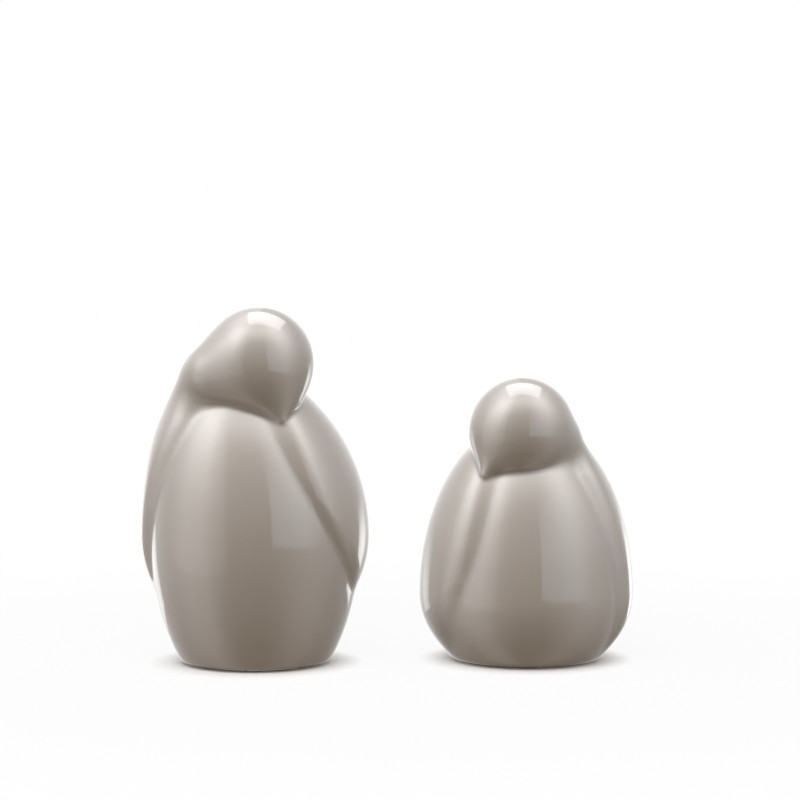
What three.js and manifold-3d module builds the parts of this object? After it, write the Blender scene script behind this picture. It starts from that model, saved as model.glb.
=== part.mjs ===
// A pair of hollow glazed stoneware birds, one tall and one small, each standing on three felt pads.
// Millimetres, +Z up. Both birds face -Y, and left and right are the viewer's. Each bird is one slip-cast
// shell: a torso, a cloak of two folded wings lying over it, and a bowed head whose face runs down into a
// short beak. The forms blend in one field of distances, negative inside, whose zero is the glazed outside.
import * as THREE from 'three';
import { mergeVertices } from 'three/addons/utils/BufferGeometryUtils.js';
import Module from 'manifold-3d';

// Sizes that both birds share
const WALL = 4.5; // thickness of the cast wall
const FLOOR = 5; // thickness of the floor above the foot recess
const FOOT_BLEND = 2.5; // rounding of the bottom edge
const FOOT_RING_WIDTH = 11; // unglazed ring that carries the pads
const FOOT_RECESS = 1.5; // depth of the hollow inside the ring
const DRAIN_DIAMETER = 18; // hole that the slip is poured out through
const PAD_MARGIN = 1; // bare ring left on each side of a pad
const PAD_THICKNESS = 0.8;
const PAD_COUNT = 3;
const WING_CREASE = 1.8; // rounding of the valley where a wing meets the breast
const FACE_BLEND = 12; // rounding between skull, muzzle, cheek and beak
const CHIN_BLEND = 3; // rounding of the fold under the face
const BIRD_GAP = 21.3; // free space between the two birds, left to right
const SMALL_SET_BACK = 8.4; // how far the small bird stands behind the tall one
const LEAN_HEIGHT = 60; // height above the widest place where the body has leaned by a bird's lean
const EDGE_CORE = 10; // nearer the axis than this, a wing's edge keeps the spread it has at this radius

// The fold between head and trunk, by the way round the skull from straight back (-1) to the beak (1)
const FOLD_WIDE_UNTIL = -0.9;
const FOLD_TIGHT_FROM = 0.1;

// The height is that of the skull's top above the foot, before the nape's blend lifts it. The cloak is an egg:
// its widest radius, the height of that widest place, its reach below, and how far its top lies under the
// skull's. The torso lies wingRise under it at the widest place and wingRiseTop at the top. A wing's edge
// starts wingDrop under the skull's top and ends at the height wingTip. It swings round the breast from
// topAngle to tipAngle, in degrees from the front. A power late over 1 holds the swing back at the top, and
// early over 1 hastens it. Its slope is how gently the edge ramps up from the breast, at the top and at the
// tip. Muzzle, cheek and beak are placed from the skull's centre, as right, back and up.
const TALL = {
  name: 'tall',
  height: 148.2,
  cloakRadius: 48.2,
  cloakHeight: 53.7,
  cloakBelow: 47.7,
  cloakDrop: 21.2,
  bellyBelow: 76.6,
  wingRise: 3.8,
  wingRiseTop: 5.2,
  lean: -6.5,
  wingDrop: 24.5,
  wingTip: 27,
  wingRounding: 4,
  leftWing: { topAngle: 20.8, tipAngle: 80, late: 1, early: 1.7, slopeTop: 2.4, slopeTip: 0.8 },
  rightWing: { topAngle: 22, tipAngle: 81.3, late: 2.5, early: 1, slopeTop: 2.2, slopeTip: 1.1 },
  skull: { aside: 2.4, forward: 14.2, radius: 21 },
  muzzle: { offset: [6.2, -5.8, -10.7], radius: 10.3 },
  cheek: { offset: [-17, -2, -5], radius: 13.5 },
  beak: { offset: [10.2, -13.8, -22.6], radius: 1.6 },
  napeBlend: 28,
};
const SMALL = {
  name: 'small',
  height: 118.3,
  cloakRadius: 45.6,
  cloakHeight: 28.1,
  cloakBelow: 37.5,
  cloakDrop: 15.9,
  bellyBelow: 42.6,
  wingRise: 3.4,
  wingRiseTop: 4.5,
  lean: 0.4,
  wingDrop: 38.3,
  wingTip: 5,
  wingRounding: 4,
  leftWing: { topAngle: 29, tipAngle: 62, late: 2.4, early: 1, slopeTop: 2.2, slopeTip: 2 },
  rightWing: { topAngle: 46, tipAngle: 64.5, late: 1, early: 1.65, slopeTop: 1.8, slopeTip: 1.2 },
  skull: { aside: -2.5, forward: 12, radius: 20 },
  muzzle: { offset: [-7.5, -5, -4.8], radius: 10 },
  cheek: { offset: [11.7, 0.5, -3.8], radius: 11.6 },
  beak: { offset: [-15.9, -12.5, -17.7], radius: 1.5 },
  napeBlend: 15,
};

// How finely the surfaces are faceted. Columns crowd to the front, where the face and the wing edges are.
const OUTSIDE = { columns: 78, step: 5.2, fineStep: 2.2 };
const INSIDE = { columns: 32, step: 8, fineStep: 8 };
const FRONT_CROWDING = 0.4;
const FINE_REACH = 13; // half height of the band of fine rows round the chin
const CHIN_ABOVE_BEAK = 4; // where that band is centred, above the top of the beak's tip
const FIRST_STEP = 1; // height of the lowest row, from which the rows grow to their full step
const SHIFT_START = 0.45; // share of the skull's height where row centres start to move under the skull
const SEARCH_RADII = 1.6; // how many cloak radii out the search for the surface begins
const SEARCH_SHARE = 0.75; // share of the field's value that one inward step of the search takes
const SEARCH_STEP = { least: 0.1, most: 8 };
const SEARCH_HALVINGS = 18;
const ROUND_SIDES = 32;
const PAD_SIDES = 24;
const CUT_OVERRUN = 1; // how far a cutting cylinder runs past the face that it cuts

// Colours of the fired glaze and of the felt
const GLAZE = { color: 0x9c9387, roughness: 0.08, metalness: 0 };
const FELT = { color: 0x3a3734, roughness: 0.95, metalness: 0 };

const wasm = await Module();
wasm.setup();

function ease(t) {
  const c = THREE.MathUtils.clamp(t, 0, 1);
  return c * c * (3 - 2 * c);
}

// Union of two forms whose meeting line is rounded over the width k
function blend(a, b, k) {
  const h = Math.max(k - Math.abs(a - b), 0) / k;
  return Math.min(a, b) - (h * h * h * k) / 6;
}

// Common part of two forms, rounded the same way
function trim(a, b, k) {
  return -blend(-a, -b, k);
}

// About the distance from (x, y, z) to an egg round the Z axis, negative inside
function egg(x, y, z, radius, below, above) {
  const half = z < 0 ? below : above;
  const r = Math.hypot(x / radius, y / radius, z / half);
  const slope = Math.hypot(x / radius ** 2, y / radius ** 2, z / half ** 2);
  return (r * (r - 1)) / Math.max(slope, 1e-6);
}

// Distance to two balls joined by their common tangent cone
function roundCone(x, y, z, from, to) {
  const [ax, ay, az] = from.at;
  const [bx, by, bz] = [to.at[0] - ax, to.at[1] - ay, to.at[2] - az];
  const [px, py, pz] = [x - ax, y - ay, z - az];
  const length = Math.hypot(bx, by, bz);
  const along = (px * bx + py * by + pz * bz) / length;
  const aside = Math.sqrt(Math.max(px * px + py * py + pz * pz - along * along, 0));
  const sine = (from.radius - to.radius) / length;
  const cosine = Math.sqrt(1 - sine * sine);
  const foot = along - (aside * sine) / cosine;
  const t = THREE.MathUtils.clamp(foot, 0, length);
  return Math.hypot(aside, along - t) - (from.radius + ((to.radius - from.radius) * t) / length);
}

// A bird's sizes with what follows from its height: the head's places, the cloak's reach and the wings' start
function fullSizes(sizes) {
  const { skull, height } = sizes;
  const centre = [skull.aside, -skull.forward, height - skull.radius];
  const beside = ({ offset, radius }) => ({ at: offset.map((o, i) => centre[i] + o), radius });
  return {
    ...sizes,
    skull: { at: centre, radius: skull.radius },
    muzzle: beside(sizes.muzzle),
    cheek: beside(sizes.cheek),
    beak: beside(sizes.beak),
    cloakAbove: height - sizes.cloakDrop - sizes.cloakHeight,
    wingTop: height - sizes.wingDrop,
  };
}

// Angle of a wing's edge from the front, and the slope of its ramp, at the share s of the way to its tip
function wingEdge(wing, s) {
  const swing = 1 - (1 - s ** wing.late) ** wing.early;
  return {
    angle: THREE.MathUtils.degToRad(wing.topAngle + (wing.tipAngle - wing.topAngle) * swing),
    slope: wing.slopeTop + (wing.slopeTip - wing.slopeTop) * s,
  };
}

// The torso and the cloak of wings over it. The body leans sideways above its widest place.
function trunkField(bird, x, y, z) {
  const rise = z - bird.cloakHeight;
  const leaning = bird.lean * (Math.max(rise, 0) / LEAN_HEIGHT) ** 2;
  const u = x - leaning;
  const torsoRadius = bird.cloakRadius - bird.wingRise;
  const torso = egg(u, y, rise, torsoRadius, bird.bellyBelow, bird.cloakAbove - bird.wingRiseTop);
  const cloak = egg(u, y, rise, bird.cloakRadius, bird.cloakBelow, bird.cloakAbove);
  const s = THREE.MathUtils.clamp((bird.wingTop - z) / (bird.wingTop - bird.wingTip), 0, 1);
  const around = Math.atan2(u, -y);
  const { angle, slope } = wingEdge(around > 0 ? bird.rightWing : bird.leftWing, s);
  const fromEdge = (angle - Math.abs(around)) * Math.max(Math.hypot(u, y), EDGE_CORE);
  const opening = (fromEdge + slope * torso) / Math.hypot(1, slope);
  const wings = trim(cloak, opening, bird.wingRounding);
  return blend(torso, wings, WING_CREASE);
}

function headField(bird, x, y, z) {
  const crown = roundCone(x, y, z, bird.skull, bird.muzzle);
  const beak = roundCone(x, y, z, bird.muzzle, bird.beak);
  const cheek = roundCone(x, y, z, bird.skull, bird.cheek);
  return blend(blend(crown, beak, FACE_BLEND), cheek, FACE_BLEND);
}

// The whole outside. The fold between head and trunk is tight under the face and wide at the nape.
function birdField(bird, x, y, z) {
  const trunk = trunkField(bird, x, y, z);
  const head = headField(bird, x, y, z);
  const [sx, sy, sz] = bird.skull.at;
  const [faceX, faceY] = [bird.beak.at[0] - sx, bird.beak.at[1] - sy];
  const distance = Math.max(Math.hypot(x - sx, y - sy, z - sz), 1e-6);
  const forward = ((x - sx) * faceX + (y - sy) * faceY) / Math.hypot(faceX, faceY) / distance;
  const tightness = ease((forward - FOLD_WIDE_UNTIL) / (FOLD_TIGHT_FROM - FOLD_WIDE_UNTIL));
  const fold = THREE.MathUtils.lerp(bird.napeBlend, CHIN_BLEND, tightness);
  return trim(blend(trunk, head, fold), -z, FOOT_BLEND);
}

// Distance from a point of the axis, along a ray, to where the field reaches the wanted depth.
// The search comes in from outside and then halves the last step.
function reachSurface(bird, origin, ray, depth) {
  const [ox, oy, oz] = origin;
  const [rx, ry, rz] = ray;
  const value = (r) => birdField(bird, ox + rx * r, oy + ry * r, oz + rz * r) + depth;
  let outer = bird.cloakRadius * SEARCH_RADII;
  let inner = outer;
  while (inner > 0 && value(inner) > 0) {
    outer = inner;
    inner -= THREE.MathUtils.clamp(value(inner) * SEARCH_SHARE, SEARCH_STEP.least, SEARCH_STEP.most);
  }
  inner = Math.max(inner, 0);
  for (let i = 0; i < SEARCH_HALVINGS; i += 1) {
    const middle = (inner + outer) / 2;
    if (value(middle) > 0) outer = middle;
    else inner = middle;
  }
  return (inner + outer) / 2;
}

// Places of the rows, as lengths up the axis to the skull's centre and on round the skull to its pole
function rowPlaces(bird, bottom, grid) {
  const end = bird.skull.at[2] + (bird.skull.radius * Math.PI) / 2;
  const chin = bird.beak.at[2] + bird.beak.radius + CHIN_ABOVE_BEAK;
  const places = [bottom];
  let place = bottom + FIRST_STEP;
  while (place < end - grid.step / 2) {
    places.push(place);
    const near = Math.exp(-(((place - chin) / FINE_REACH) ** 2));
    place += Math.min(grid.step - (grid.step - grid.fineStep) * near, FIRST_STEP + (place - bottom));
  }
  return places;
}

// Two triangles for a four-sided facet, parted along its shorter diagonal so that creases stay crisp
function splitQuad(positions, a, b, c, d) {
  const corner = (i) => new THREE.Vector3().fromArray(positions, 3 * i);
  if (corner(a).distanceTo(corner(c)) < corner(b).distanceTo(corner(d))) return [a, b, c, a, c, d];
  return [a, b, d, b, c, d];
}

// A closed skin at one depth below the outside: rays leave the axis level with each row, and fan out
// round the skull's centre above it. The first row is closed by a flat disc and the last by a pole.
function skinGeometry(bird, depth, bottom, grid) {
  const [skullX, skullY, skullZ] = bird.skull.at;
  const quarter = (bird.skull.radius * Math.PI) / 2;
  const places = rowPlaces(bird, bottom, grid);
  const positions = [];
  for (const place of places) {
    const shift = ease((place / skullZ - SHIFT_START) / (1 - SHIFT_START));
    const tilt = (THREE.MathUtils.clamp((place - skullZ) / quarter, 0, 1) * Math.PI) / 2;
    const origin = [skullX * shift, skullY * shift, Math.min(place, skullZ)];
    for (let column = 0; column < grid.columns; column += 1) {
      const even = (column / grid.columns) * 2 * Math.PI;
      const turn = even - FRONT_CROWDING * Math.sin(even);
      const ray = [Math.cos(tilt) * Math.sin(turn), -Math.cos(tilt) * Math.cos(turn), Math.sin(tilt)];
      const reach = reachSurface(bird, origin, ray, depth);
      positions.push(...origin.map((o, i) => o + ray[i] * reach));
    }
  }
  const pole = reachSurface(bird, bird.skull.at, [0, 0, 1], depth);
  positions.push(skullX, skullY, skullZ + pole);
  positions.push(0, 0, bottom);
  const poleIndex = places.length * grid.columns;
  const index = [];
  for (let column = 0; column < grid.columns; column += 1) {
    const next = (column + 1) % grid.columns;
    for (let row = 0; row + 1 < places.length; row += 1) {
      const low = row * grid.columns;
      const high = low + grid.columns;
      index.push(...splitQuad(positions, low + column, low + next, high + next, high + column));
    }
    const top = poleIndex - grid.columns;
    index.push(top + column, top + next, poleIndex);
    index.push(next, column, poleIndex + 1);
  }
  const geometry = new THREE.BufferGeometry();
  geometry.setAttribute('position', new THREE.Float32BufferAttribute(positions, 3));
  geometry.setIndex(index);
  return geometry;
}

function toSolid(geometry) {
  const bare = geometry.clone();
  bare.deleteAttribute('normal');
  bare.deleteAttribute('uv');
  const merged = mergeVertices(bare, 1e-4);
  const mesh = new wasm.Mesh({
    numProp: 3,
    vertProperties: Float32Array.from(merged.attributes.position.array),
    triVerts: Uint32Array.from(merged.index.array),
  });
  return new wasm.Manifold(mesh);
}

function toGeometry(solid) {
  const mesh = solid.getMesh();
  const geometry = new THREE.BufferGeometry();
  geometry.setAttribute('position', new THREE.BufferAttribute(mesh.vertProperties, 3));
  geometry.setIndex(new THREE.BufferAttribute(mesh.triVerts, 1));
  geometry.computeVertexNormals();
  return geometry;
}

// An upright cylinder between two heights
function uprightCylinder(radius, low, high, sides) {
  const geometry = new THREE.CylinderGeometry(radius, radius, high - low, sides);
  geometry.rotateX(Math.PI / 2);
  geometry.translate(0, 0, (low + high) / 2);
  return geometry;
}

// Least radius of the flat foot, over all the columns of the outside's first row
function flatFootRadius(outside) {
  const position = outside.attributes.position;
  let least = Infinity;
  for (let column = 0; column < OUTSIDE.columns; column += 1) {
    least = Math.min(least, Math.hypot(position.getX(column), position.getY(column)));
  }
  return least;
}

function named(name, geometry, look) {
  const mesh = new THREE.Mesh(geometry, new THREE.MeshStandardMaterial(look));
  mesh.name = name;
  return mesh;
}

// One bird: the cast shell, emptied from below through the drain hole, and its pads on the foot ring
function makeBird(sizes) {
  const bird = fullSizes(sizes);
  const outside = skinGeometry(bird, 0, 0, OUTSIDE);
  const inside = skinGeometry(bird, WALL, FOOT_RECESS + FLOOR, INSIDE);
  const footRadius = flatFootRadius(outside);
  const recessRadius = footRadius - FOOT_RING_WIDTH;
  const recess = uprightCylinder(recessRadius, -CUT_OVERRUN, FOOT_RECESS, ROUND_SIDES);
  const drainTop = FOOT_RECESS + FLOOR + CUT_OVERRUN;
  const drain = uprightCylinder(DRAIN_DIAMETER / 2, -CUT_OVERRUN, drainTop, ROUND_SIDES);
  let shell = toSolid(outside);
  for (const hollow of [inside, recess, drain]) {
    shell = shell.subtract(toSolid(hollow));
  }

  const group = new THREE.Group();
  const body = named(`${bird.name}_bird_shell`, toGeometry(shell), GLAZE);
  body.position.z = PAD_THICKNESS;
  group.add(body);

  const padRadius = FOOT_RING_WIDTH / 2 - PAD_MARGIN;
  const padPlace = footRadius - FOOT_RING_WIDTH / 2;
  for (let i = 0; i < PAD_COUNT; i += 1) {
    const turn = ((i + 0.5) / PAD_COUNT) * 2 * Math.PI;
    const disc = uprightCylinder(padRadius, 0, PAD_THICKNESS, PAD_SIDES);
    const pad = named(`${bird.name}_felt_pad_${i + 1}`, disc, FELT);
    pad.position.set(padPlace * Math.sin(turn), padPlace * Math.cos(turn), 0);
    group.add(pad);
  }
  return group;
}

// The pair, set side by side and centred on the surface that they stand on
const tall = makeBird(TALL);
const small = makeBird(SMALL);
const tallBox = new THREE.Box3().setFromObject(tall, true);
const smallBox = new THREE.Box3().setFromObject(small, true);
small.position.set(tallBox.max.x + BIRD_GAP - smallBox.min.x, SMALL_SET_BACK, 0);

const pair = new THREE.Group();
pair.add(tall, small);
const whole = new THREE.Box3().setFromObject(pair, true);
const middle = whole.getCenter(new THREE.Vector3());
pair.position.set(-middle.x, -middle.y, 0);

export default pair;
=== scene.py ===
import math

import bpy
import numpy as np
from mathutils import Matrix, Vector


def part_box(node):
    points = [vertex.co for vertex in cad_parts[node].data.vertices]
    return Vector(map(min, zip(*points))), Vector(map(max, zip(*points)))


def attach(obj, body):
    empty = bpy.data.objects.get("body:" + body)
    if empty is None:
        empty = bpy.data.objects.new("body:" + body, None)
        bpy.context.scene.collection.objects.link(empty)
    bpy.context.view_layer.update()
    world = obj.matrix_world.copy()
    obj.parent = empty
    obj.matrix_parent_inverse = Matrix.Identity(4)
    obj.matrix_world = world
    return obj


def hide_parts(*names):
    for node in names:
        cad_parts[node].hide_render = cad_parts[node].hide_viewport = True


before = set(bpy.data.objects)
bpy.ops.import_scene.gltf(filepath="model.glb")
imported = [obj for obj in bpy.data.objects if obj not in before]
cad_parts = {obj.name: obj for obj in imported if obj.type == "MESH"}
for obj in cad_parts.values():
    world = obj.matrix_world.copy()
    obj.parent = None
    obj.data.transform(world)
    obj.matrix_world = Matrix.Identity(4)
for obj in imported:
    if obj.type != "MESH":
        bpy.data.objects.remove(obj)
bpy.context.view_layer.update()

# The two birds' shells. Each is one hollow stoneware body, slip-cast in a plaster mould, dipped in a
# glossy taupe glaze and fired. The glaze is wiped off the foot ring, so the ring, the recess inside it,
# the drain hole and the inside are bare clay.
MM = 0.001  # the shells' sizes are in millimetres, and the scene is in metres
WALL = 4.5
FLOOR = 5  # thickness of the floor above the recess
FOOT_BLEND = 2.5  # rounding of the bottom edge
FOOT_RING_WIDTH = 11
FOOT_RECESS = 1.5  # depth of the hollow inside the ring
DRAIN_DIAMETER = 18
WING_CREASE = 1.8  # rounding of the valley where a wing meets the breast
FACE_BLEND = 12  # rounding between skull, muzzle, cheek and beak
CHIN_BLEND = 3  # rounding of the fold under the face
LEAN_HEIGHT = 60  # height above the widest place where the body has leaned by a bird's lean
EDGE_CORE = 10  # nearer the axis than this, a wing's edge keeps the spread it has at this radius
FOLD_WIDE_UNTIL = -0.9  # the fold's width goes by the way round the skull, -1 at the back, 1 at the beak
FOLD_TIGHT_FROM = 0.1
SPONGED_EDGE = 0.7  # rounding of the bare edges, from the sponge that wipes the foot

# Heights are above the foot. Angles are degrees from the front, and a wing is (top, tip, late, early,
# slope at the top, slope at the tip). Head places are right, back and up from the skull's centre, with a
# radius.
BIRDS = {
    "tall": {
        "height": 148.2,
        "cloak_radius": 48.2,
        "cloak_height": 53.7,
        "cloak_below": 47.7,
        "cloak_drop": 21.2,
        "belly_below": 76.6,
        "wing_rise": 3.8,
        "wing_rise_top": 5.2,
        "lean": -6.5,
        "wing_drop": 24.5,
        "wing_tip": 27,
        "wing_rounding": 4,
        "left_wing": (20.8, 80, 1, 1.7, 2.4, 0.8),
        "right_wing": (22, 81.3, 2.5, 1, 2.2, 1.1),
        "skull": (2.4, -14.2, 21),
        "muzzle": (6.2, -5.8, -10.7, 10.3),
        "cheek": (-17, -2, -5, 13.5),
        "beak": (10.2, -13.8, -22.6, 1.6),
        "nape_blend": 28,
    },
    "small": {
        "height": 118.3,
        "cloak_radius": 45.6,
        "cloak_height": 28.1,
        "cloak_below": 37.5,
        "cloak_drop": 15.9,
        "belly_below": 42.6,
        "wing_rise": 3.4,
        "wing_rise_top": 4.5,
        "lean": 0.4,
        "wing_drop": 38.3,
        "wing_tip": 5,
        "wing_rounding": 4,
        "left_wing": (29, 62, 2.4, 1, 2.2, 2),
        "right_wing": (46, 64.5, 1, 1.65, 1.8, 1.2),
        "skull": (-2.5, -12, 20),
        "muzzle": (-7.5, -5, -4.8, 10),
        "cheek": (11.7, 0.5, -3.8, 11.6),
        "beak": (-15.9, -12.5, -17.7, 1.5),
        "nape_blend": 15,
    },
}


def ease(t):
    """0 below 0, 1 above 1, and 3 t squared less 2 t cubed between."""
    t = np.clip(t, 0, 1)
    return t * t * (3 - 2 * t)


def blend(a, b, k):
    """Union of two forms: the lesser distance, less h cubed times k over 6, where h fades out k away from
    the line on which both are alike, so that the meeting line is rounded."""
    h = np.maximum(k - np.abs(a - b), 0) / k
    return np.minimum(a, b) - h**3 * k / 6


def egg(x, y, z, radius, below, above):
    """About the distance to an egg round the Z axis: r (r - 1) over the slope of r, where r is the length
    of the point measured in the egg's own radii, with one half height below the widest place and another
    above it."""
    half = np.where(z < 0, below, above)
    r = np.sqrt((x / radius) ** 2 + (y / radius) ** 2 + (z / half) ** 2)
    slope = np.sqrt((x / radius**2) ** 2 + (y / radius**2) ** 2 + (z / half**2) ** 2)
    return r * (r - 1) / np.maximum(slope, 1e-6)


def round_cone(x, y, z, a, ra, b, rb):
    """Distance to two balls joined by their common tangent cone: the point is dropped square to the cone's
    side onto the line between the centres, and the radius there is taken off its distance from that place."""
    line = np.subtract(b, a)
    length = np.linalg.norm(line)
    px, py, pz = x - a[0], y - a[1], z - a[2]
    along = (px * line[0] + py * line[1] + pz * line[2]) / length
    aside = np.sqrt(np.maximum(px**2 + py**2 + pz**2 - along**2, 0))
    sine = (ra - rb) / length
    t = np.clip(along - aside * sine / math.sqrt(1 - sine**2), 0, length)
    return np.hypot(aside, along - t) - (ra + (rb - ra) * t / length)


def head_places(bird):
    """Centres and radii of skull, muzzle, cheek and beak. The skull hangs its radius under the bird's
    height, and the others are set off from its centre."""
    right, back, radius = bird["skull"]
    skull = np.array([right, back, bird["height"] - radius])
    places = {"skull": (skull, radius)}
    for name in ("muzzle", "cheek", "beak"):
        places[name] = (skull + bird[name][:3], bird[name][3])
    return places


def bird_field(bird, x, y, z):
    """Distance to the glazed outside. A torso egg and a cloak egg share an axis that leans with the square
    of the height. The cloak is cut back in front along an edge whose angle is a function of height, its
    ramp is blended into the torso, and the head is blended on, tightly under the face and widely at the
    nape."""
    cloak_above = bird["height"] - bird["cloak_drop"] - bird["cloak_height"]
    rise = z - bird["cloak_height"]
    u = x - bird["lean"] * (np.maximum(rise, 0) / LEAN_HEIGHT) ** 2
    torso_radius = bird["cloak_radius"] - bird["wing_rise"]
    torso = egg(u, y, rise, torso_radius, bird["belly_below"], cloak_above - bird["wing_rise_top"])
    cloak = egg(u, y, rise, bird["cloak_radius"], bird["cloak_below"], cloak_above)

    wing_top = bird["height"] - bird["wing_drop"]
    s = np.clip((wing_top - z) / (wing_top - bird["wing_tip"]), 0, 1)
    around = np.arctan2(u, -y)
    angle, slope = 0, 0
    for wing, here in (("left_wing", around <= 0), ("right_wing", around > 0)):
        top, tip, late, early, slope_top, slope_tip = bird[wing]
        swing = 1 - (1 - s**late) ** early
        angle = np.where(here, np.radians(top + (tip - top) * swing), angle)
        slope = np.where(here, slope_top + (slope_tip - slope_top) * s, slope)
    from_edge = (angle - np.abs(around)) * np.maximum(np.hypot(u, y), EDGE_CORE)
    opening = (from_edge + slope * torso) / np.hypot(1, slope)
    wings = -blend(-cloak, -opening, bird["wing_rounding"])
    trunk = blend(torso, wings, WING_CREASE)

    skull, muzzle, cheek, beak = head_places(bird).values()
    face = blend(round_cone(x, y, z, *skull, *muzzle), round_cone(x, y, z, *muzzle, *beak), FACE_BLEND)
    head = blend(face, round_cone(x, y, z, *skull, *cheek), FACE_BLEND)
    sx, sy, sz = skull[0]
    look_x, look_y = beak[0][0] - sx, beak[0][1] - sy
    distance = np.maximum(np.sqrt((x - sx) ** 2 + (y - sy) ** 2 + (z - sz) ** 2), 1e-6)
    forward = ((x - sx) * look_x + (y - sy) * look_y) / math.hypot(look_x, look_y) / distance
    tightness = ease((forward - FOLD_WIDE_UNTIL) / (FOLD_TIGHT_FROM - FOLD_WIDE_UNTIL))
    fold = bird["nape_blend"] + (CHIN_BLEND - bird["nape_blend"]) * tightness
    return -blend(-blend(trunk, head, fold), z, FOOT_BLEND)


SHIFT_START = 0.45  # share of the skull's height where the rays' starts begin to move under the skull
SEARCH_RADII = 1.6  # how many cloak radii out the search for the surface begins
SEARCH_STEPS = 80
SEARCH_SHARE = 0.75  # share of the field's value that one inward step takes
LEAST_STEP = 0.1
MOST_STEP = 8
SEARCH_HALVINGS = 20


def skin(bird, depth, places, turns):
    """A surface at one depth under the outside. Each row is a place: a height up the axis, and past the
    skull's centre a length round the skull. Rays leave the row's own point, level at first and then
    fanning up to the pole, and each is searched inwards for the field's value and then halved until it
    lies on it."""
    (skull_x, skull_y, skull_z), skull_radius = head_places(bird)["skull"]
    tilt = np.clip((places - skull_z) / (skull_radius * math.pi / 2), 0, 1) * math.pi / 2
    shift = ease((places / skull_z - SHIFT_START) / (1 - SHIFT_START))
    origin = np.stack([skull_x * shift, skull_y * shift, np.minimum(places, skull_z)], -1)[:, None]
    level = np.cos(tilt)[:, None]
    ray = np.stack([level * np.sin(turns), -level * np.cos(turns), np.sin(tilt)[:, None] + 0 * turns], -1)

    def value(reach):
        at = origin + ray * reach[..., None]
        return bird_field(bird, at[..., 0], at[..., 1], at[..., 2]) + depth

    outer = np.full(ray.shape[:2], bird["cloak_radius"] * SEARCH_RADII)
    inner = outer.copy()
    for _ in range(SEARCH_STEPS):
        here = value(inner)
        outside = here > 0
        outer = np.where(outside, inner, outer)
        inner = np.where(outside, inner - np.clip(here * SEARCH_SHARE, LEAST_STEP, MOST_STEP), inner)
        if not outside.any():
            break
    inner = np.maximum(inner, 0)
    for _ in range(SEARCH_HALVINGS):
        middle = (inner + outer) / 2
        outside = value(middle) > 0
        outer = np.where(outside, middle, outer)
        inner = np.where(outside, inner, middle)
    return origin + ray * outer[..., None]


def rounded_profile(corners, rounding, steps=5):
    """A path of (radius, height) corners, each turned along a parabola that leaves and meets the straight
    sides one rounding away from the corner."""
    points = [corners[:1]]
    for before, corner, after in zip(corners[:-2], corners[1:-1], corners[2:]):
        into = (before - corner) / np.linalg.norm(before - corner) * rounding
        out = (after - corner) / np.linalg.norm(after - corner) * rounding
        t = np.linspace(0, 1, steps)[:, None]
        points.append(corner + into * (1 - t) ** 2 + out * t**2)
    points.append(corners[-1:])
    return np.concatenate(points)


COLUMNS = 300
OUTSIDE_ROWS = 262
INSIDE_ROWS = 40
FRONT_CROWDING = 0.4  # how far the columns crowd to the front, where the face and the wing edges are
INNER_CORNER = 2  # radius that the floor inside gives up to the foot of the wall


def shell_surface(bird):
    """The whole closed surface in one grid: down the inside from its pole, in over the floor, down the
    drain hole, out over the recess and the foot ring, and up the glazed outside to its pole. Also gives
    how many rows of it lie before the glaze begins."""
    even = np.arange(COLUMNS) / COLUMNS * 2 * math.pi
    turns = even - FRONT_CROWDING * np.sin(even)
    (_, _, skull_z), skull_radius = head_places(bird)["skull"]
    end = skull_z + skull_radius * math.pi / 2
    floor_top = FOOT_RECESS + FLOOR
    outside = skin(bird, 0, np.linspace(0, end, OUTSIDE_ROWS + 1), turns)
    inside = skin(bird, WALL, np.linspace(floor_top, end, INSIDE_ROWS + 1), turns)
    foot_radius = np.hypot(outside[0, :, 0], outside[0, :, 1]).min()
    recess_radius = foot_radius - FOOT_RING_WIDTH
    drain_radius = DRAIN_DIAMETER / 2
    corners = np.array(
        [
            [np.hypot(inside[0, :, 0], inside[0, :, 1]).min() - INNER_CORNER, floor_top],
            [drain_radius, floor_top],
            [drain_radius, FOOT_RECESS],
            [recess_radius, FOOT_RECESS],
            [recess_radius, 0],
            [foot_radius - SPONGED_EDGE, 0],
        ]
    )
    profile = rounded_profile(corners, SPONGED_EDGE)
    spokes = np.stack([np.sin(turns), -np.cos(turns), 0 * turns], -1)
    underside = profile[:, None, :1] * spokes + profile[:, None, 1:] * np.array([0, 0, 1])
    rows = np.concatenate([inside[-1:0:-1], inside[:1], underside, outside])
    rows[0] = rows[0].mean(0)
    rows[-1] = rows[-1].mean(0)
    return rows, len(inside) + len(underside)


def hollowness(bird, points, step=1.2):
    """How far the outside caves in round each point: the field's neighbours one step away along X, Y and
    Z, less six times the field there, over the step squared. It is below 0 in a valley and above 0 on a
    ridge."""
    total = -6 * bird_field(bird, *points.T)
    for axis in range(3):
        for side in (-step, step):
            moved = points.copy()
            moved[:, axis] += side
            total += bird_field(bird, *moved.T)
    return total / step**2


def srgb(code):
    """Linear colour of an sRGB hex code: each channel less than 0.04045 over 12.92, and the others by the
    power 2.4 of (channel + 0.055) / 1.055."""
    channels = np.array([int(code[i : i + 2], 16) for i in (1, 3, 5)]) / 255
    linear = np.where(channels <= 0.04045, channels / 12.92, ((channels + 0.055) / 1.055) ** 2.4)
    return (*linear.tolist(), 1.0)


def add_node(tree, kind, settings, sockets):
    """Adds a node, sets its properties, and fills its sockets, by a link where the value is an output."""
    node = tree.nodes.new(kind)
    for name, value in settings.items():
        setattr(node, name, value)
    for name, value in sockets.items():
        if isinstance(value, bpy.types.NodeSocket):
            tree.links.new(value, node.inputs[name])
        else:
            node.inputs[name].default_value = value
    return node


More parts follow.
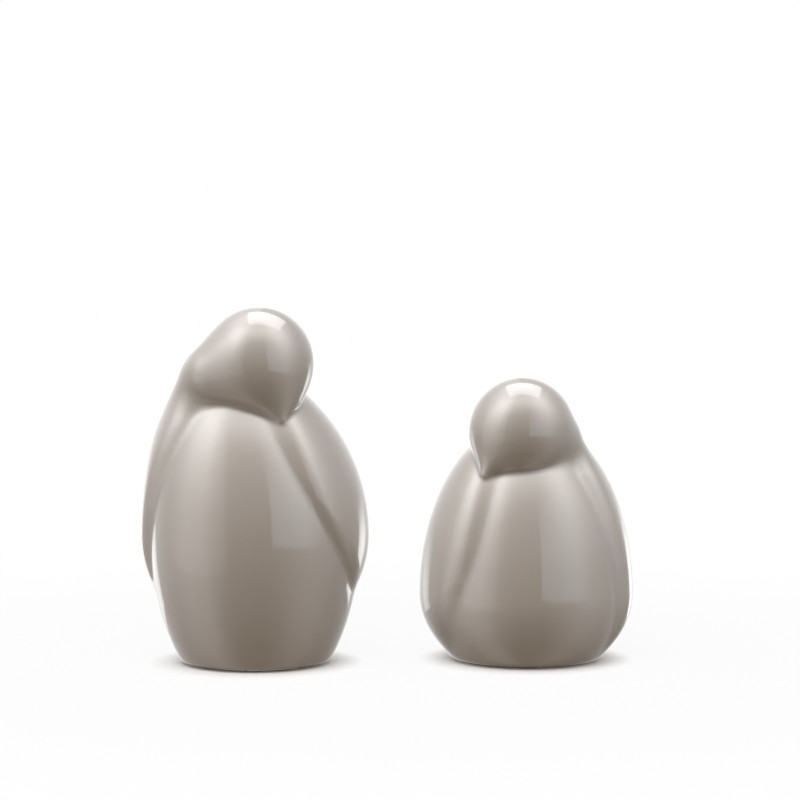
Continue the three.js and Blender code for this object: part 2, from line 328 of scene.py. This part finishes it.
# Glossy stoneware glaze, opaque taupe under a clear glass surface. It runs off ridges, which come out
# paler, and gathers in valleys, which come out deeper; these shifts by the surface's hollowness also paint
# shade into the valleys and a painted highlight onto the ridges. Over the foot's edge it is so thin that
# the buff clay warms it. The surface keeps a very slight ripple, which bends the edges of reflections.
# The pooled and thin tones below set the glaze's random drift, and also paint shade into the valleys and a
# highlight onto the ridges.
TAUPE = "#877867"
TAUPE_POOLED_AND_SHADE = "#776b5f"
TAUPE_THIN_AND_HIGHLIGHT = "#91867a"
TAUPE_OVER_CLAY = "#7a6450"
POOLED_SHADE_FROM, POOLED_SHADE_AT = 0.0, -0.5  # hollowness where the glaze starts to gather and the painted shade begins, and where both are deepest
THINNED_HIGHLIGHT_FROM, THINNED_HIGHLIGHT_AT = 0.06, 0.35
FOOT_LINE_FROM, FOOT_LINE_AT = 0.0024, 0.0010  # metres above the floor
DRIFT_SIZE = 0.035
DRIFT_SHARE = 0.25
RIPPLE_SIZE = 0.011
RIPPLE_DEPTH = 0.00004

glaze = bpy.data.materials.new("glossy_taupe_stoneware_glaze")
glaze.use_nodes = True
tree = glaze.node_tree
surface = tree.nodes["Principled BSDF"]
where = add_node(tree, "ShaderNodeTexCoord", {}, {}).outputs["Object"]
hollow = add_node(tree, "ShaderNodeAttribute", {"attribute_name": "hollowness"}, {}).outputs["Fac"]
# Masks by hollowness: the first darkens valleys with pooled glaze and painted shade, the second pales ridges
# with thin glaze and a painted highlight.
pooled_and_shaded = add_node(
    tree,
    "ShaderNodeMapRange",
    {"interpolation_type": "SMOOTHSTEP"},
    {"Value": hollow, "From Min": POOLED_SHADE_FROM, "From Max": POOLED_SHADE_AT},
)
thinned_and_highlighted = add_node(
    tree,
    "ShaderNodeMapRange",
    {"interpolation_type": "SMOOTHSTEP"},
    {"Value": hollow, "From Min": THINNED_HIGHLIGHT_FROM, "From Max": THINNED_HIGHLIGHT_AT},
)
drift = add_node(
    tree,
    "ShaderNodeTexNoise",
    {},
    {"Vector": where, "Scale": 1 / DRIFT_SIZE, "Detail": 2.0, "Roughness": 0.5},
)
drifted = add_node(
    tree,
    "ShaderNodeMix",
    {"data_type": "RGBA"},
    {0: drift.outputs["Fac"], 6: srgb(TAUPE_POOLED_AND_SHADE), 7: srgb(TAUPE_THIN_AND_HIGHLIGHT)},
)
evened = add_node(
    tree,
    "ShaderNodeMix",
    {"data_type": "RGBA"},
    {0: DRIFT_SHARE, 6: srgb(TAUPE), 7: drifted.outputs[2]},
)
# Painted shade in the valleys and a painted highlight on the ridges, together with the glaze's pooling and
# thinning.
deepened_and_shaded = add_node(
    tree,
    "ShaderNodeMix",
    {"data_type": "RGBA"},
    {0: pooled_and_shaded.outputs[0], 6: evened.outputs[2], 7: srgb(TAUPE_POOLED_AND_SHADE)},
)
paled_and_highlighted = add_node(
    tree,
    "ShaderNodeMix",
    {"data_type": "RGBA"},
    {0: thinned_and_highlighted.outputs[0], 6: deepened_and_shaded.outputs[2], 7: srgb(TAUPE_THIN_AND_HIGHLIGHT)},
)
height = add_node(tree, "ShaderNodeSeparateXYZ", {}, {0: where}).outputs["Z"]
foot_line = add_node(
    tree,
    "ShaderNodeMapRange",
    {"interpolation_type": "SMOOTHSTEP"},
    {"Value": height, "From Min": FOOT_LINE_FROM, "From Max": FOOT_LINE_AT},
)
footed = add_node(
    tree,
    "ShaderNodeMix",
    {"data_type": "RGBA"},
    {0: foot_line.outputs[0], 6: paled_and_highlighted.outputs[2], 7: srgb(TAUPE_OVER_CLAY)},
)
ripple = add_node(
    tree,
    "ShaderNodeTexNoise",
    {},
    {"Vector": where, "Scale": 1 / RIPPLE_SIZE, "Detail": 1.0, "Roughness": 0.4},
)
bump = add_node(
    tree,
    "ShaderNodeBump",
    {},
    {"Height": ripple.outputs["Fac"], "Strength": 1.0, "Distance": RIPPLE_DEPTH},
)
tree.links.new(footed.outputs[2], surface.inputs["Base Color"])
tree.links.new(bump.outputs["Normal"], surface.inputs["Normal"])
surface.inputs["Roughness"].default_value = 0.08
surface.inputs["IOR"].default_value = 1.54

# Bare fired stoneware, sponged smooth while damp: matte and buff, with the dark grains of the clay. They
# are drawn about twice as coarse as real ones, so that they show.
CLAY = "#b9a78f"
CLAY_GRAIN = "#86725a"
GRAIN_SIZE = 0.0009
GRAIN_FROM, GRAIN_AT = 0.56, 0.70  # levels of the noise between which a grain darkens
GRAIN_DEPTH = 0.00012

clay = bpy.data.materials.new("bare_buff_stoneware")
clay.use_nodes = True
tree = clay.node_tree
surface = tree.nodes["Principled BSDF"]
where = add_node(tree, "ShaderNodeTexCoord", {}, {}).outputs["Object"]
grain = add_node(
    tree,
    "ShaderNodeTexNoise",
    {},
    {"Vector": where, "Scale": 1 / GRAIN_SIZE, "Detail": 3.0, "Roughness": 0.6},
)
speckle = add_node(
    tree,
    "ShaderNodeMapRange",
    {},
    {"Value": grain.outputs["Fac"], "From Min": GRAIN_FROM, "From Max": GRAIN_AT},
)
body_colour = add_node(
    tree,
    "ShaderNodeMix",
    {"data_type": "RGBA"},
    {0: speckle.outputs[0], 6: srgb(CLAY), 7: srgb(CLAY_GRAIN)},
)
bump = add_node(
    tree,
    "ShaderNodeBump",
    {},
    {"Height": grain.outputs["Fac"], "Strength": 0.6, "Distance": GRAIN_DEPTH},
)
tree.links.new(body_colour.outputs[2], surface.inputs["Base Color"])
tree.links.new(bump.outputs["Normal"], surface.inputs["Normal"])
surface.inputs["Roughness"].default_value = 0.85
surface.inputs["IOR"].default_value = 1.5


def mesh_object(name, points, faces, smooth=True):
    """A mesh object at the origin from an (n, 3) array of points in metres and a list of faces."""
    mesh = bpy.data.meshes.new(name)
    mesh.from_pydata(points.tolist(), [], faces)
    mesh.polygons.foreach_set("use_smooth", np.full(len(mesh.polygons), smooth))
    mesh.update()
    thing = bpy.data.objects.new(name, mesh)
    bpy.context.scene.collection.objects.link(thing)
    return thing


def wrapped_faces(rows, columns):
    """Quads of a grid of rows whose columns close on themselves, with the first and the last row shrunk to
    one point each, so that those two are fans of triangles."""
    column = np.arange(columns)
    after = (column + 1) % columns
    row = np.arange(1, rows - 2)[:, None]
    low = 1 + (row - 1) * columns
    quads = np.stack([low + column, low + after, low + columns + after, low + columns + column], -1)
    last = 1 + (rows - 2) * columns
    top = last - columns
    first_fan = np.stack([0 * column, 1 + after, 1 + column], -1)
    last_fan = np.stack([top + column, top + after, last + 0 * column], -1)
    return first_fan.tolist() + quads.reshape(-1, 4).tolist() + last_fan.tolist()


PAD_COUNT = 3


def pad_box(bird_name, number):
    """Corners of one pad's CAD node, as arrays."""
    return (np.array(corner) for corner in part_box(f"{bird_name}_felt_pad_{number}"))


def foot_centre(bird_name):
    """The middle of a bird's ring of pads, on the pads' upper face, where the shell's own axis stands."""
    middles = []
    for number in range(1, PAD_COUNT + 1):
        low, high = pad_box(bird_name, number)
        middles.append([(low[0] + high[0]) / 2, (low[1] + high[1]) / 2, high[2]])
    return np.mean(middles, axis=0)


for bird_name, bird in BIRDS.items():
    rows, bare_rows = shell_surface(bird)
    points = np.concatenate([rows[0, :1], rows[1:-1].reshape(-1, 3), rows[-1, :1]])
    faces = wrapped_faces(len(rows), COLUMNS)
    shell = mesh_object(f"{bird_name}_glazed_shell", points * MM + foot_centre(bird_name), faces)
    shell.data.materials.append(glaze)
    shell.data.materials.append(clay)
    bare = np.zeros(len(faces), dtype=np.int32)
    bare[: COLUMNS * bare_rows] = 1
    shell.data.polygons.foreach_set("material_index", bare)
    # The hollowness attribute drives the glaze's painted shade in valleys and painted highlight on ridges.
    attribute = shell.data.attributes.new("hollowness", "FLOAT", "POINT")
    attribute.data.foreach_set("value", hollowness(bird, points).astype(np.float32))
    shell.visible_glossy = False
    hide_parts(f"{bird_name}_bird_shell")
    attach(shell, f"{bird_name}_bird")

# Felt pads. Three discs punched from pressed wool felt with a self-adhesive back, stuck to each bird's
# foot ring so that the clay doesn't scratch a shelf. The punch leaves the edge slightly domed and hairy.
# Single fibres are too fine to show, so the pattern is that of their tufts.
PAD_EDGE = 0.25  # millimetres
PAD_SIDES = 72
FELT_DARK = "#2b2825"
FELT_LIGHT = "#4c4844"
TUFT_SIZE = 0.0006
TUFT_DEPTH = 0.00015

felt = bpy.data.materials.new("pressed_wool_felt")
felt.use_nodes = True
tree = felt.node_tree
surface = tree.nodes["Principled BSDF"]
where = add_node(tree, "ShaderNodeTexCoord", {}, {}).outputs["Object"]
tufts = add_node(
    tree,
    "ShaderNodeTexNoise",
    {},
    {"Vector": where, "Scale": 1 / TUFT_SIZE, "Detail": 4.0, "Roughness": 0.7, "Distortion": 1.5},
)
felt_colour = add_node(
    tree,
    "ShaderNodeMix",
    {"data_type": "RGBA"},
    {0: tufts.outputs["Fac"], 6: srgb(FELT_DARK), 7: srgb(FELT_LIGHT)},
)
bump = add_node(
    tree,
    "ShaderNodeBump",
    {},
    {"Height": tufts.outputs["Fac"], "Strength": 0.8, "Distance": TUFT_DEPTH},
)
tree.links.new(felt_colour.outputs[2], surface.inputs["Base Color"])
tree.links.new(bump.outputs["Normal"], surface.inputs["Normal"])
surface.inputs["Roughness"].default_value = 0.95
surface.inputs["Sheen Weight"].default_value = 0.25
surface.inputs["Sheen Roughness"].default_value = 0.6

for bird_name in BIRDS:
    for number in range(1, PAD_COUNT + 1):
        low, high = pad_box(bird_name, number)
        radius = (high[0] - low[0]) / 2
        thickness = high[2] - low[2]
        corners = np.array([[0, 0], [radius, 0], [radius, thickness], [0, thickness]])
        profile = rounded_profile(corners, PAD_EDGE * MM, steps=6)
        around = np.arange(PAD_SIDES) / PAD_SIDES * 2 * math.pi
        centre = np.array([(low[0] + high[0]) / 2, (low[1] + high[1]) / 2, low[2]])
        ring = np.stack([np.sin(around), -np.cos(around), 0 * around], -1)
        grid = profile[1:-1, None, :1] * ring + profile[1:-1, None, 1:] * np.array([0, 0, 1])
        points = np.concatenate([[[0, 0, 0]], grid.reshape(-1, 3), [[0, 0, thickness]]])
        faces = wrapped_faces(len(profile), PAD_SIDES)
        pad = mesh_object(f"{bird_name}_felt_disc_{number}", points + centre, faces)
        pad.data.materials.append(felt)
        pad.visible_glossy = False
        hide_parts(f"{bird_name}_felt_pad_{number}")
        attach(pad, f"{bird_name}_bird")

# The table, a round board with a white laminate top. It keeps the birds' soft shadow, wholly under and
# close round each foot and faintly beyond, and the camera sees it fade into plain white.
TABLE_RADIUS = 0.45
TABLE_SIDES = 96
SHADOW_END = 0.405
SHADOW_REACH = 0.13
SHADOW_SHARE = 0.08
CONTACT_CORE = 0.026
CONTACT_REACH = 0.050

board = bpy.data.materials.new("white_laminate_board")
board.use_nodes = True
tree = board.node_tree
tree.nodes.clear()
where = add_node(tree, "ShaderNodeTexCoord", {}, {}).outputs["Object"]
laminate = add_node(tree, "ShaderNodeBsdfDiffuse", {}, {"Color": srgb("#f4f4f4")})
white = add_node(tree, "ShaderNodeEmission", {}, {"Color": (1, 1, 1, 1), "Strength": 1.0})
length = add_node(tree, "ShaderNodeVectorMath", {"operation": "LENGTH"}, {0: where})
shares = [
    add_node(
        tree,
        "ShaderNodeMapRange",
        {"interpolation_type": "SMOOTHSTEP"},
        {
            "Value": length.outputs["Value"],
            "From Min": SHADOW_END,
            "From Max": SHADOW_REACH,
            "To Max": SHADOW_SHARE,
        },
    )
]
for bird_name in BIRDS:
    centre = foot_centre(bird_name) * (1, 1, 0)
    away = add_node(
        tree, "ShaderNodeVectorMath", {"operation": "DISTANCE"}, {0: where, 1: centre.tolist()}
    )
    shares.append(
        add_node(
            tree,
            "ShaderNodeMapRange",
            {"interpolation_type": "SMOOTHSTEP"},
            {"Value": away.outputs["Value"], "From Min": CONTACT_REACH, "From Max": CONTACT_CORE},
        )
    )
path = add_node(tree, "ShaderNodeLightPath", {}, {})
unseen = add_node(
    tree, "ShaderNodeMath", {"operation": "SUBTRACT"}, {0: 1.0, 1: path.outputs["Is Camera Ray"]}
)
share = unseen
for other in shares:
    share = add_node(
        tree, "ShaderNodeMath", {"operation": "MAXIMUM"}, {0: share.outputs[0], 1: other.outputs[0]}
    )
mixed = add_node(
    tree, "ShaderNodeMixShader", {}, {0: share.outputs[0], 1: white.outputs[0], 2: laminate.outputs[0]}
)
add_node(tree, "ShaderNodeOutputMaterial", {}, {0: mixed.outputs[0]})

around = np.arange(TABLE_SIDES) / TABLE_SIDES * 2 * math.pi
rim = np.stack([np.cos(around), np.sin(around), 0 * around], -1) * TABLE_RADIUS
table = mesh_object("table_board", rim, [list(range(TABLE_SIDES))], smooth=False)
table.data.materials.append(board)
table.visible_glossy = False

# The studio, a tent of white cloth. Its light on the birds is plain and even. What their gloss mirrors is
# the cloth itself, bright where the lamps stand outside it, left, right and above, and dim at the lens's
# opening.
ROOM_LIGHT = 0.50
TENT_LEVEL = 14.0
# Brightness by azimuth in degrees, 0 at the lens and 90 on the right, as a share of the brightest side.
SIDES = [
    (-180, 0.20),
    (-155, 0.24),
    (-128, 0.35),
    (-100, 0.62),
    (-78, 1.02),
    (-60, 1.08),
    (-45, 0.74),
    (-28, 0.44),
    (-10, 0.37),
    (10, 0.36),
    (30, 0.40),
    (62, 0.82),
    (85, 0.70),
    (108, 0.38),
    (140, 0.20),
    (180, 0.15),
]
# Brightness by elevation in degrees.
HEIGHTS = [
    (-90, 0.05),
    (-50, 0.12),
    (-37, 0.17),
    (-25, 0.22),
    (-12, 0.28),
    (4, 0.39),
    (15, 0.50),
    (28, 0.68),
    (41, 0.90),
    (52, 1.00),
    (64, 0.95),
    (78, 0.70),
    (90, 0.60),
]
# How far the cloth is equally bright all round, by elevation in degrees.
EVENNESS = [
    (-90, 0.0),
    (-35, 0.0),
    (-12, 0.12),
    (10, 0.17),
    (30, 0.0),
    (48, 0.08),
    (64, 0.50),
    (80, 1.0),
]


def ramp_of(tree, value, low, high, stops):
    """A smooth curve through stops (place, level), read at a socket's value, where low and high are the
    places at the curve's ends."""
    share = add_node(
        tree, "ShaderNodeMapRange", {}, {"Value": value, "From Min": float(low), "From Max": float(high)}
    )
    ramp = add_node(tree, "ShaderNodeValToRGB", {}, {"Fac": share.outputs[0]})
    ramp.color_ramp.interpolation = "B_SPLINE"
    elements = ramp.color_ramp.elements
    while len(elements) < len(stops):
        elements.new(0.5)
    for element, (stop, level) in zip(elements, stops):
        element.position = (stop - low) / (high - low)
        element.color = (level, level, level, 1)
    return ramp.outputs["Color"]


room = bpy.data.worlds.new("white_tent")
bpy.context.scene.world = room
room.use_nodes = True
tree = room.node_tree
tree.nodes.clear()
towards = add_node(tree, "ShaderNodeTexCoord", {}, {}).outputs["Generated"]
parts = add_node(tree, "ShaderNodeSeparateXYZ", {}, {0: towards})
front = add_node(tree, "ShaderNodeMath", {"operation": "MULTIPLY"}, {0: parts.outputs["Y"], 1: -1.0})
turn = add_node(
    tree, "ShaderNodeMath", {"operation": "ARCTAN2"}, {0: parts.outputs["X"], 1: front.outputs[0]}
)
azimuth = add_node(tree, "ShaderNodeMath", {"operation": "DEGREES"}, {0: turn.outputs[0]}).outputs[0]
tip = add_node(tree, "ShaderNodeMath", {"operation": "ARCSINE"}, {0: parts.outputs["Z"]})
elevation = add_node(tree, "ShaderNodeMath", {"operation": "DEGREES"}, {0: tip.outputs[0]}).outputs[0]
sides = ramp_of(tree, azimuth, -180, 180, SIDES)
evenness = ramp_of(tree, elevation, -90, 90, EVENNESS)
spread = add_node(tree, "ShaderNodeMix", {"data_type": "FLOAT"}, {0: evenness, 2: sides, 3: 1.0})
shaded = add_node(
    tree,
    "ShaderNodeMath",
    {"operation": "MULTIPLY"},
    {0: spread.outputs[0], 1: ramp_of(tree, elevation, -90, 90, HEIGHTS)},
)
cloth = add_node(tree, "ShaderNodeMath", {"operation": "MULTIPLY"}, {0: shaded.outputs[0], 1: TENT_LEVEL})
path = add_node(tree, "ShaderNodeLightPath", {}, {})
mirrored = add_node(
    tree,
    "ShaderNodeMix",
    {"data_type": "FLOAT"},
    {0: path.outputs["Is Glossy Ray"], 2: ROOM_LIGHT, 3: cloth.outputs[0]},
)
seen = add_node(
    tree,
    "ShaderNodeMath",
    {"operation": "MAXIMUM"},
    {0: path.outputs["Is Camera Ray"], 1: path.outputs["Is Transmission Ray"]},
)
strength = add_node(
    tree, "ShaderNodeMix", {"data_type": "FLOAT"}, {0: seen.outputs[0], 2: mirrored.outputs[0], 3: 1.0}
)
backdrop = add_node(
    tree, "ShaderNodeBackground", {}, {"Color": (1, 1, 1, 1), "Strength": strength.outputs[0]}
)
add_node(tree, "ShaderNodeOutputWorld", {}, {0: backdrop.outputs[0]})

# The lamps inside the tent. A large panel on the right shows crisp left and lower edges in the gloss, a
# weaker one stands on the left, two low strips stand behind, and a small box hangs over the crowns. Only
# the box above and in front of the birds lights them, and it doesn't show.
WHITE_LIGHT = (1.0, 1.0, 1.0)
COOL_LIGHT = (0.86, 0.98, 1.12)

# Places and sizes are in metres. Fades are the shares of a lamp's size at its left, right, bottom and top
# over which it dims to nothing.
SOFTBOXES = {
    "right_panel": {
        "place": (0.728, -0.611, 0.635),
        "facing": (-0.766, 0.643, 0.0),
        "width": 1.2,
        "height": 1.45,
        "radiance": 1.3,
        "fades": (0.02, 0.5, 0.015, 0.8),
        "colour": COOL_LIGHT,
        "shows": True,
    },
    "left_panel": {
        "place": (-0.72, -0.17, 0.5),
        "facing": (0.766, 0.643, 0.0),
        "width": 1.1,
        "height": 1.3,
        "radiance": 0.5,
        "fades": (0.5, 0.03, 0.02, 0.6),
        "colour": WHITE_LIGHT,
        "shows": True,
    },
    "back_left_panel": {
        "place": (-0.56, 0.79, -0.05),
        "facing": (0.58, -0.81, 0.0),
        "width": 0.44,
        "height": 0.40,
        "radiance": 1.3,
        "fades": (0.6, 0.05, 0.05, 0.6),
        "colour": WHITE_LIGHT,
        "shows": True,
    },
    "back_right_panel": {
        "place": (0.56, 0.79, -0.05),
        "facing": (-0.58, -0.81, 0.0),
        "width": 0.44,
        "height": 0.40,
        "radiance": 2.9,
        "fades": (0.05, 0.6, 0.05, 0.6),
        "colour": WHITE_LIGHT,
        "shows": True,
    },
    "crown_box": {
        "place": (0.12, 0.30, 0.95),
        "facing": (0.0, 0.001, -1.0),
        "width": 0.80,
        "height": 0.75,
        "radiance": 3.3,
        "fades": (0.04, 0.04, 0.04, 0.04),
        "colour": WHITE_LIGHT,
        "shows": True,
    },
    "overhead_box": {
        "place": (-0.25, -0.55, 1.05),
        "facing": (0.23, 0.5, -0.95),
        "width": 0.9,
        "height": 0.9,
        "radiance": 3.4,
        "fades": (0.2, 0.2, 0.2, 0.2),
        "colour": WHITE_LIGHT,
        "shows": False,
    },
}

for name, box in SOFTBOXES.items():
    lamp = bpy.data.lights.new(name, "AREA")
    lamp.shape = "RECTANGLE"
    lamp.size = box["width"]
    lamp.size_y = box["height"]
    lamp.energy = math.pi * box["width"] * box["height"] * box["radiance"]
    lamp.color = box["colour"]
    softbox = bpy.data.objects.new(name, lamp)
    bpy.context.scene.collection.objects.link(softbox)
    softbox.location = box["place"]
    softbox.rotation_euler = (-Vector(box["facing"])).to_track_quat("Z", "Y").to_euler()
    softbox.visible_camera = False
    softbox.visible_glossy = box["shows"]
    softbox.visible_diffuse = not box["shows"]
    lamp.use_nodes = True
    tree = lamp.node_tree
    tree.nodes.clear()
    across = add_node(tree, "ShaderNodeNewGeometry", {}, {}).outputs["Parametric"]
    parts = add_node(tree, "ShaderNodeSeparateXYZ", {}, {0: across})
    left, right, bottom, top = box["fades"]
    level = 1.0
    for output, edge, inner in ((0, 0.0, left), (0, 1.0, 1 - right), (1, 0.0, bottom), (1, 1.0, 1 - top)):
        fade = add_node(
            tree,
            "ShaderNodeMapRange",
            {"interpolation_type": "SMOOTHSTEP"},
            {"Value": parts.outputs[output], "From Min": edge, "From Max": inner},
        )
        level = add_node(
            tree, "ShaderNodeMath", {"operation": "MULTIPLY"}, {0: level, 1: fade.outputs[0]}
        ).outputs[0]
    glow = add_node(tree, "ShaderNodeEmission", {}, {"Color": (1, 1, 1, 1), "Strength": level})
    add_node(tree, "ShaderNodeOutputLight", {}, {0: glow.outputs[0]})

# The camera, a long lens a little above the heads. It looks down by the drop of its line of sight over
# the run to the birds, and its shift frames them with white above.
FOCAL_LENGTH = 120
SENSOR_WIDTH = 36
LENS_PLACE = (0.00505, -1.1276, 0.1788)
SIGHT_DROP, SIGHT_RUN = 0.108, 1.123
FRAME_SHIFT = 0.1196

lens = bpy.data.cameras.new("camera")
lens.sensor_width = SENSOR_WIDTH
lens.lens = FOCAL_LENGTH
lens.shift_y = FRAME_SHIFT
camera = bpy.data.objects.new("camera", lens)
bpy.context.scene.collection.objects.link(camera)
camera.location = LENS_PLACE
camera.rotation_euler = (math.pi / 2 - math.atan2(SIGHT_DROP, SIGHT_RUN), 0, 0)
bpy.context.scene.camera = camera
bpy.context.scene.view_settings.view_transform = "Standard"
